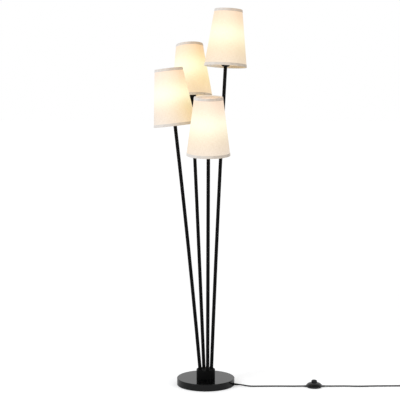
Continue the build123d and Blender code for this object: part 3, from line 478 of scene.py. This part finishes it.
black_coat = powder_coat()
black_lacquer = gloss_lacquer()
black_cord = cord_pvc()
fabrics = {lamp: shade_fabric(lamp) for lamp in PAINTED_WARMTH}
tapes = {lamp: trim_tape(lamp) for lamp in PAINTED_WARMTH}
FINISHES = {
    "black_coat": black_coat,
    "cast_weight": metal("raw_grey_iron", "#3b3a38", "#55534f", 0.65, 2.5 * MM),
    "zinc_steel": metal("zinc_plated_steel", "#a3a6a8", "#b9bcbd", 0.35, 0.9 * MM),
    "felt": felt(),
    "terminal_plastic": moulded("ivory_polyamide", "#d8d2bd", "#e2dcc9", 0.5, 0.6 * MM, 0.02 * MM),
    "lead_insulation": moulded("white_silicone_sleeve", "#d6d6d2", "#e0e0dc", 0.6, 1.5 * MM, 0.03 * MM),
    "cord_jacket": black_cord,
    "holder_plastic": moulded("black_phenolic", "#141312", "#1e1c1b", 0.35, 0.8 * MM, 0.01 * MM),
    "holder_ceramic": moulded("unglazed_steatite", "#dcd9d0", "#e8e5de", 0.75, 0.5 * MM, 0.03 * MM),
    "contact_brass": metal("stamped_brass", "#b08a3e", "#c29c50", 0.3, 1.0 * MM),
    "bulb_cap_metal": metal("bright_aluminium_cap", "#b5b5b3", "#c6c6c4", 0.3, 1.0 * MM),
    "bulb_glass": opal_glass(),
    "bulb_inner": moulded("glass_stem_and_filament", "#f0d9a0", "#f7e4b4", 0.3, 1.0 * MM, 0.01 * MM),
    "carrier_wire": moulded("white_powder_coated_wire", "#e6e1d8", "#efebe3", 0.4, 1.2 * MM, 0.01 * MM),
    "shade_fabric": fabrics["front"],  # on the plain cones, which the rolled sheets and the tapes replace
    "shade_tape": tapes["front"],
    "tie_plastic": moulded("black_nylon_strap", "#151515", "#202020", 0.45, 0.7 * MM, 0.05 * MM),
    "plug_plastic": moulded("black_moulded_pvc", "#161616", "#202020", 0.5, 0.5 * MM, 0.02 * MM),
    "pin_metal": metal("nickel_plated_brass", "#bdb8ae", "#cbc7be", 0.2, 0.8 * MM),
    "switch_shell": moulded("polished_black_abs", "#0c0c0d", "#121213", 0.16, 3.0 * MM, 0.004 * MM),
    "switch_button": moulded("textured_black_abs", "#161617", "#1f1f20", 0.5, 0.45 * MM, 0.03 * MM),
    "switch_inner": moulded("natural_acetal", "#d9d8d0", "#e5e4dd", 0.45, 0.8 * MM, 0.01 * MM),
}
for part in frame["record"]["subparts"]:
    node = frame["nodes"][part["node"]]
    node.data.materials.clear()
    node.data.materials.append(FINISHES[part["material_slot"]])
frame["nodes"]["base_cover"].data.materials[0] = black_lacquer
# Chemically blackened steel: dark, and a little lighter in spots.
black_oxide = metal("black_oxide_steel", "#1b1b1c", "#2a2a2b", 0.5, 0.6 * MM)
frame["nodes"]["hub_grub_screws"].data.materials[0] = black_oxide
for cord in (cord_a, cord_b):
    cord.data.materials.append(black_cord)

# ---- shades --------------------------------------------------------------------------------------
HUB_TOP = 62.0
RING_R = 24.0  # of the ring on which the hub holds the tubes
RING_TURN = 18.0  # of its first tube, in degrees from +X
BOW = radians(1.5)  # how much further each tube leans at its top than at its foot
# Each lamp's place on the hub's ring in quarter turns, its tube's lean to the right and to the back on the
# whole in degrees, and its tube's length to the bottom rim.
LAMPS = {
    "right": (0, 2.6, 3.0, 1206.0),
    "rear": (1, -2.57, 10.3, 1094.0),
    "left": (2, -5.75, 1.2, 977.0),
    "front": (3, 0.1, -5.1, 866.0),
}
SKIN_T = 0.8
TAPE_T = 0.5
LAP = 11.0  # of the fabric's glued overlap
LAP_RISE = 16.0  # over which the upper end of the fabric climbs onto the lower
SEAM_TURN = 118.0  # degrees, where the overlap is: at the back
LAP_LIFT = 0.51  # how far out that end stands: the layers are pressed together
SET_IN = 0.144  # by which all of the fabric lies further in than under the tape
OVAL = 0.09  # how far the fabric is from round on the whole
OVAL_TURN = 0.7  # radians
WAVES = 0.05  # how far it is from round in five waves, which turn with the height
WAVE_RISE = 60.0  # over which they turn by a radian
SKIN_COLUMNS = 144
SKIN_ROWS = 24
SHARP_FROM = radians(40)  # an edge that turns by more stays sharp


def rim_frame(lamp):
    """From millimetres about the middle of a lamp's bottom rim, Z along its axis, to the frame's metres."""
    quarter, right, back, length = LAMPS[lamp]
    on_the_whole = Vector((tan(radians(right)), tan(radians(back)), 1)).normalized()
    sideways = Vector((0, 0, 1)).cross(on_the_whole)
    axis = Matrix.Rotation(BOW / 2, 3, sideways) @ on_the_whole
    turn = radians(RING_TURN + 90 * quarter)
    foot = Vector((RING_R * cos(turn), RING_R * sin(turn), HUB_TOP))
    top = foot + on_the_whole * length * sin(BOW / 2) / (BOW / 2)
    across = (Vector((1, 0, 0)) - axis * axis.x).normalized()
    turned = Matrix((across, axis.cross(across), axis)).transposed().to_4x4()
    return Matrix.Scale(MM, 4) @ Matrix.Translation(top) @ turned


def shade_r(height):
    """The shade's outer radius, over the tape. Millimetres."""
    return SHADE_R_LOW + (SHADE_R_HIGH - SHADE_R_LOW) * height / SHADE_H


def cloth_mesh():
    """A new bmesh, and the map of where its points are on the cloth."""
    mesh = bmesh.new()
    return mesh, mesh.loops.layers.uv.new(CLOTH_MAP)


def cloth_face(mesh, cloth, corners):
    """A face of (vertex, turn, height) corners, mapped by their way round the cloth and their height."""
    face = mesh.faces.new([vertex for vertex, _, _ in corners])
    for loop, (_, turn, height) in zip(face.loops, corners):
        loop[cloth].uv = (turn * ROUND_R * MM, height * MM)


def made_piece(name, mesh, place, material, nodes):
    """Closes a bmesh into a smooth piece, at its place, which rides on the lamp."""
    mesh.transform(place)
    bmesh.ops.recalc_face_normals(mesh, faces=mesh.faces)
    data = bpy.data.meshes.new(name)
    mesh.to_mesh(data)
    mesh.free()
    data.polygons.foreach_set("use_smooth", [True] * len(data.polygons))
    data.set_sharp_from_angle(angle=SHARP_FROM)
    data.materials.append(material)
    piece = bpy.data.objects.new(name, data)
    bpy.context.collection.objects.link(piece)
    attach(piece, "lamp")
    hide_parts(*nodes)
    return piece


def fabric_skin(lamp):
    """One sheet of fabric rolled into a cone, its end lapped over its start, and not quite round."""
    mesh, cloth = cloth_mesh()
    lap = LAP / ROUND_R
    whole_turn = 2 * pi + lap
    rise = LAP_RISE / ROUND_R
    rows = []
    for layer in (0, 1):
        for row in range(SKIN_ROWS + 1):
            height = TAPE_T + (SHADE_H - 2 * TAPE_T) * row / SKIN_ROWS
            line = []
            for column in range(SKIN_COLUMNS + 1):
                along = whole_turn * column / SKIN_COLUMNS
                climb = min(max((along - whole_turn + rise + lap) / rise, 0.0), 1.0)
                lifted = LAP_LIFT * climb * climb * (3 - 2 * climb)
                turn = radians(SEAM_TURN) + along
                uneven = OVAL * sin(2 * turn + OVAL_TURN) + WAVES * sin(5 * turn + height / WAVE_RISE)
                radius = shade_r(height) - TAPE_T - SKIN_T * (1 - layer) - SET_IN + lifted + uneven
                vertex = mesh.verts.new((radius * cos(turn), radius * sin(turn), height))
                line.append((vertex, turn, height))
            rows.append(line)
    inner, outer = rows[:SKIN_ROWS + 1], rows[SKIN_ROWS + 1:]
    for side in (inner, outer):
        for low, high in zip(side, side[1:]):
            for k in range(SKIN_COLUMNS):
                cloth_face(mesh, cloth, (low[k], low[k + 1], high[k + 1], high[k]))
    for k in range(SKIN_COLUMNS):
        cloth_face(mesh, cloth, (inner[0][k], outer[0][k], outer[0][k + 1], inner[0][k + 1]))
        cloth_face(mesh, cloth, (inner[-1][k], inner[-1][k + 1], outer[-1][k + 1], outer[-1][k]))
    for row in range(SKIN_ROWS):
        for k in (0, -1):
            cloth_face(mesh, cloth, (inner[row][k], inner[row + 1][k], outer[row + 1][k], outer[row][k]))
    nodes = [f"shade_skin_{lamp}"]
    made_piece(f"shade_fabric_{lamp}", mesh, rim_frame(lamp), fabrics[lamp], nodes)


# The folded tape's section, from the edge of its outer band over the rim to the edge of its inner band, and
# back along its other face. Each point is outwards from the shade's outer radius, and from the rim inwards.
TAPE_SECTION = [
    (-0.45, 11.0), (-0.05, 10.8), (0.1, 7.0), (0.15, 2.0), (0.0, 0.7), (-0.45, 0.0), (-1.2, -0.1),
    (-1.75, 0.4), (-1.95, 1.6), (-1.95, 6.0), (-1.9, 9.8), (-1.5, 9.8), (-1.45, 6.0), (-1.45, 1.7),
    (-1.2, 0.8), (-0.8, 0.6), (-0.5, 0.9), (-0.4, 2.0), (-0.42, 7.0),
]
TAPE_COLUMNS = 180
PUCKERS = 45  # small gathers where the straight tape goes round the rim
PUCKER_DEPTH = 0.06  # at PUCKER_FULL from the rim, and none at the rim
PUCKER_FULL = 10.0


def folded_tape(lamp, end):
    """Tape folded over one rim, with small puckers along its free edge."""
    mesh, cloth = cloth_mesh()
    rim, step = (0.0, 1) if end == "bottom" else (SHADE_H, -1)
    rings = []
    for column in range(TAPE_COLUMNS):
        turn = 2 * pi * column / TAPE_COLUMNS
        pucker = sin(PUCKERS * turn) * PUCKER_DEPTH
        ring = []
        for out, inwards in TAPE_SECTION:
            height = rim + step * inwards
            radius = shade_r(height) + out + pucker * max(inwards, 0) / PUCKER_FULL
            ring.append((mesh.verts.new((radius * cos(turn), radius * sin(turn), height)), turn, height))
        rings.append(ring)
    rings.append([(vertex, 2 * pi, height) for vertex, _, height in rings[0]])
    count = len(TAPE_SECTION)
    for ring, following in zip(rings, rings[1:]):
        for k in range(count):
            after = (k + 1) % count
            cloth_face(mesh, cloth, (ring[k], following[k], following[after], ring[after]))
    nodes = ["shade_tapes"]
    made_piece(f"shade_tape_{lamp}_{end}", mesh, rim_frame(lamp), tapes[lamp], nodes)


for lamp in LAMPS:
    fabric_skin(lamp)
    for end in ("bottom", "top"):
        folded_tape(lamp, end)


# ---- the foot switch's return spring -------------------------------------------------------------
SPRING_R = 6.0 * MM  # to the middle of the wire
SPRING_WIRE_R = 0.4 * MM
SPRING_TURNS = 5
TURN_STEPS = 24  # rings of points in each turn
WIRE_SIDES = 10


def return_spring():
    """The coiled steel spring under the button, which squeezes it."""
    low, high = (Vector(corner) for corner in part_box("switch_spring"))
    middle = (low + high) / 2
    first, last = low.z + SPRING_WIRE_R, high.z - SPRING_WIRE_R
    mesh = bmesh.new()
    count = SPRING_TURNS * TURN_STEPS
    rings = []
    for step in range(count + 1):
        turn = 2 * pi * step / TURN_STEPS
        out = Vector((cos(turn), sin(turn), 0))
        centre = Vector((middle.x, middle.y, first + (last - first) * step / count)) + out * SPRING_R
        sides = [2 * pi * k / WIRE_SIDES for k in range(WIRE_SIDES)]
        wire = [centre + (out * cos(side) + Vector((0, 0, sin(side)))) * SPRING_WIRE_R for side in sides]
        rings.append([mesh.verts.new(point) for point in wire])
    for ring, following in zip(rings, rings[1:]):
        for k in range(WIRE_SIDES):
            after = (k + 1) % WIRE_SIDES
            mesh.faces.new((ring[k], following[k], following[after], ring[after]))
    for ring in (rings[0], rings[-1]):
        mesh.faces.new(ring)
    slot = "zinc_steel"
    spring = made_piece("return_spring", mesh, Matrix(), FINISHES[slot], ["switch_spring"])
    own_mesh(spring)


return_spring()


# ---- floor, backdrop and light -------------------------------------------------------------------
FLOOR_R = 30.0
FLOOR_DROP = 0.5 * MM  # under the felt, so that their faces don't meet
FLOOR_LIFT_NEAR = 0.4  # what lifts the floor to the backdrop's white at the lamp
FLOOR_LIFT_FAR = 0.55  # and at FLOOR_FAR, where less of the studio lights' light falls
FLOOR_FAR = 6.0
WHITE = "#ffffff"
FRONT_WALL = 0.16  # how brightly the studio's walls show in the lamp's gloss
BACK_WALL = 0.80
FRONT_ENDS = -0.2  # how far to the back a reflection points where each wall ends, from -1 to 1
BACK_STARTS = 0.7
ROOM_LIGHT = 0.62  # what the studio's walls give to dull surfaces
LIGHT_SIDE = 1.6
AIM = (0.0, 0.0, 0.8)  # the middle of the lamp


def floor_paper():
    """Matt white paper. The camera sees it lifted to the backdrop's white, and the shadow stays."""
    material, tree, shader = surface(
        "matt_white_paper",
        {
            "Base Color": linear("#e4e4e4"),
            "Roughness": 1.0,
            "Specular IOR Level": 0.0,
            "Emission Color": linear(WHITE),
        },
    )
    seen = add(tree, "ShaderNodeLightPath").outputs["Is Camera Ray"]
    place = add(tree, "ShaderNodeTexCoord").outputs["Object"]
    distance = add(tree, "ShaderNodeVectorMath", {0: place}, operation="LENGTH").outputs["Value"]
    missing = {
        "Value": distance, "From Max": FLOOR_FAR, "To Min": FLOOR_LIFT_NEAR, "To Max": FLOOR_LIFT_FAR
    }
    amount = add(tree, "ShaderNodeMapRange", missing).outputs["Result"]
    lift = add(tree, "ShaderNodeMath", {0: seen, 1: amount}, operation="MULTIPLY").outputs[0]
    link(tree, lift, shader, "Emission Strength")
    return material


def lay_floor():
    mesh = bmesh.new()
    bmesh.ops.create_circle(mesh, cap_ends=True, segments=64, radius=FLOOR_R)
    data = bpy.data.meshes.new("floor")
    mesh.to_mesh(data)
    mesh.free()
    data.materials.append(floor_paper())
    floor = bpy.data.objects.new("floor", data)
    floor.location = (0, 0, -FLOOR_DROP)
    bpy.context.collection.objects.link(floor)


def light_world():
    """A white studio, seen as full white. Its back wall is lit, and its front, behind the camera, is dim."""
    world = bpy.data.worlds.new("white_studio")
    bpy.context.scene.world = world
    world.use_nodes = True
    tree = world.node_tree
    tree.nodes.clear()
    way = add(tree, "ShaderNodeTexCoord").outputs["Generated"]
    parts = add(tree, "ShaderNodeSeparateXYZ", {0: way}).outputs
    to_back = {
        "Value": parts["Y"],
        "From Min": FRONT_ENDS,
        "From Max": BACK_STARTS,
        "To Min": FRONT_WALL,
        "To Max": BACK_WALL,
    }
    walls = add(tree, "ShaderNodeMapRange", to_back, interpolation_type="SMOOTHSTEP").outputs["Result"]
    path = add(tree, "ShaderNodeLightPath").outputs
    straight = {0: path["Is Camera Ray"], 1: path["Is Transmission Ray"]}
    seen = add(tree, "ShaderNodeMath", straight, operation="MAXIMUM").outputs[0]
    dull = {0: path["Is Diffuse Ray"], 1: ROOM_LIGHT}
    as_light = add(tree, "ShaderNodeMath", dull, operation="MULTIPLY").outputs[0]
    glossy = {0: path["Is Glossy Ray"], 1: walls}
    shine = add(tree, "ShaderNodeMath", glossy, operation="MULTIPLY").outputs[0]
    either = add(tree, "ShaderNodeMath", {0: seen, 1: shine}, operation="MAXIMUM").outputs[0]
    strength = add(tree, "ShaderNodeMath", {0: either, 1: as_light}, operation="MAXIMUM").outputs[0]
    shown = add(tree, "ShaderNodeBackground", {"Color": linear(WHITE), "Strength": strength})
    out = add(tree, "ShaderNodeOutputWorld", {"Surface": shown.outputs[0]})
    out.is_active_output = True


def soft_light(name, place, watts, colour):
    """A square light, turned to the lamp."""
    data = bpy.data.lights.new(name, "AREA")
    data.shape = "SQUARE"
    data.size = LIGHT_SIDE
    data.energy = watts
    data.color = linear(colour)[:3]
    light = bpy.data.objects.new(name, data)
    light.location = place
    light.rotation_euler = (Vector(AIM) - Vector(place)).to_track_quat("-Z", "Y").to_euler()
    bpy.context.collection.objects.link(light)


lay_floor()
light_world()
soft_light("key_left", (-2.6, -2.2, 2.3), watts=60.0, colour="#f4f8ff")
soft_light("fill_right", (3.0, -2.6, 1.8), watts=34.0, colour=WHITE)
bpy.context.scene.view_settings.view_transform = "Standard"
